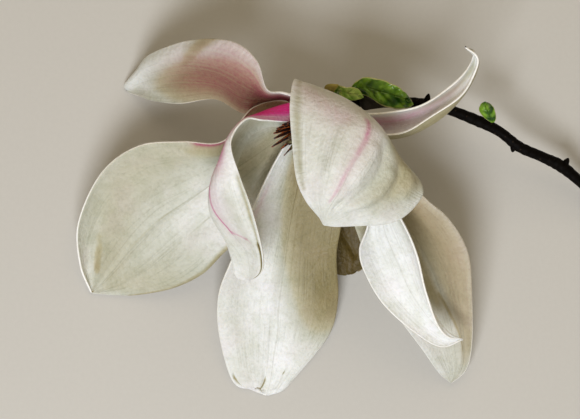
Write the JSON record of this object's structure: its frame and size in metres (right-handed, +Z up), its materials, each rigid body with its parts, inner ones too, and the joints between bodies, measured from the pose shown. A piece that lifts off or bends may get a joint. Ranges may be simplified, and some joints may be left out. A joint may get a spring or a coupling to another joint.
{
  "type": "magnolia branch",
  "caption": "Cut magnolia twig with a wide-open white flower, dark stamens and young leaves, laid down on a surface.",
  "frame": {"origin": "middle of the underside of the whole branch's box, on the surface that it lies on", "axes": "+X along the twig from the flower to its cut end, +Z up from the surface, and the flower looks up and a little towards -X and -Y"},
  "size_m": [0.1963, 0.1213, 0.0668],
  "materials": {
    "tepal": "satin",
    "receptacle": "matte",
    "stamen": "satin",
    "carpel": "satin",
    "bark": "matte",
    "leaf": "satin",
    "young_leaf": "satin",
    "bud_scale": "matte"
  },
  "bodies": {
    "root": {"tepal_1": "tepal", "tepal_2": "tepal", "tepal_3": "tepal", "tepal_4": "tepal", "tepal_5": "tepal", "tepal_6": "tepal", "tepal_7": "tepal", "tepal_8": "tepal", "tepal_9": "tepal", "receptacle": "receptacle", "stamens": "stamen", "carpels": "carpel", "twig": "bark", "leaf_large": "leaf", "leaf_small": "young_leaf", "leaf_scale": "young_leaf", "bud_scale": "bud_scale", "twig_leaf": "leaf"}
  },
  "joints": []
}
